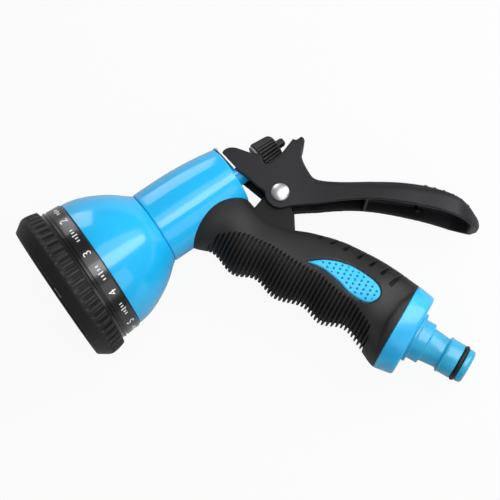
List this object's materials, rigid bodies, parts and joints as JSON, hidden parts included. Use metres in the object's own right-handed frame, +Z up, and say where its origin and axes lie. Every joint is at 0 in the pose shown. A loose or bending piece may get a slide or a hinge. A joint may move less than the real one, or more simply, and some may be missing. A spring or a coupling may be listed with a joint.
{
  "type": "hose spray nozzle",
  "caption": "Pistol-shaped garden hose spray nozzle with a rear squeeze lever, a turning pattern dial, a flow knob and a quick-connect hose nipple.",
  "frame": {"origin": "on the handle axis, in the middle of the nose of the hose nipple", "axes": "the nozzle lies on its side on a level surface, as it rests: +Z up, +X from the spray head towards the hose end, +Y towards the lever; the hose axis leaves the nipple along the mount axis"},
  "size_m": [0.2131, 0.1161, 0.0737],
  "materials": {
    "dial_rubber": "matte, fine moulded texture, notched grip",
    "dial_black": "gloss black, white printed numbers",
    "face_black": "satin",
    "blue_body": "gloss lacquer, light grain",
    "inset_blue": "satin, moulded dimples",
    "nipple_blue": "semi-gloss",
    "grip_rubber": "matte soft grip, fine ribs",
    "lever_black": "fine spark-eroded texture",
    "black_plastic": "satin",
    "grey_plastic": "satin",
    "inner_plastic": "plain moulded",
    "seal_rubber": "smooth",
    "steel": "bright"
  },
  "bodies": {
    "body": {"bell_housing": "blue_body", "nozzle_body": "blue_body", "grip_sleeve": "grip_rubber", "grip_inset_left": "inset_blue", "grip_inset_right": "inset_blue", "lever_bracket": "black_plastic", "lever_rivet": "steel", "rivet_cap": "steel", "port_disc": "inner_plastic", "port_seal": "seal_rubber", "detent_ball": "steel", "detent_spring": "steel", "face_washer": "steel", "face_screw": "steel", "valve_seat": "inner_plastic", "valve_spring": "steel", "gland_nut": "blue_body", "stem_o_ring": "seal_rubber", "hose_nipple": "nipple_blue", "nipple_o_ring": "seal_rubber", "nipple_washer": "seal_rubber", "inlet_filter": "inner_plastic"},
    "dial": {"selector_dial": "dial_black", "dial_grip_ring": "dial_rubber", "spray_face": "face_black"},
    "lever": {"squeeze_lever": "lever_black", "nose_plate": "steel"},
    "valve": {"valve_stem": "black_plastic", "plunger_seal": "seal_rubber", "valve_plunger": "inner_plastic", "knob_washer": "grey_plastic"},
    "knob": {"adjusting_knob": "black_plastic"}
  },
  "joints": [
    {"name": "dial_turn", "type": "hinge", "parent": "body", "child": "dial", "pos_m": [-0.18207, 0.03638, 0.01798], "axis": [0.8138, 0.564, -0.1402], "continuous": true},
    {"name": "lever_squeeze", "type": "hinge", "parent": "body", "child": "lever", "pos_m": [-0.08299, 0.07925, 0.00304], "axis": [-0.1141, -0.0815, -0.9901], "range_deg": [0, 15], "stiffness_Nm_per_rad": 3, "springref_deg": -22.92},
    {"name": "stem_slide", "type": "slide", "parent": "body", "child": "valve", "axis": [0.8138, 0.564, -0.1402], "range_m": [0, 0.00513], "deforming": ["valve_spring"]},
    {"name": "knob_turn", "type": "hinge", "parent": "valve", "child": "knob", "pos_m": [-0.09276, 0.09828, 0.00259], "axis": [0.8138, 0.564, -0.1402], "continuous": true}
  ],
  "couplings": [
    {"joint": "stem_slide", "follows": "lever_squeeze", "m_per_rad": 0.019562}
  ]
}
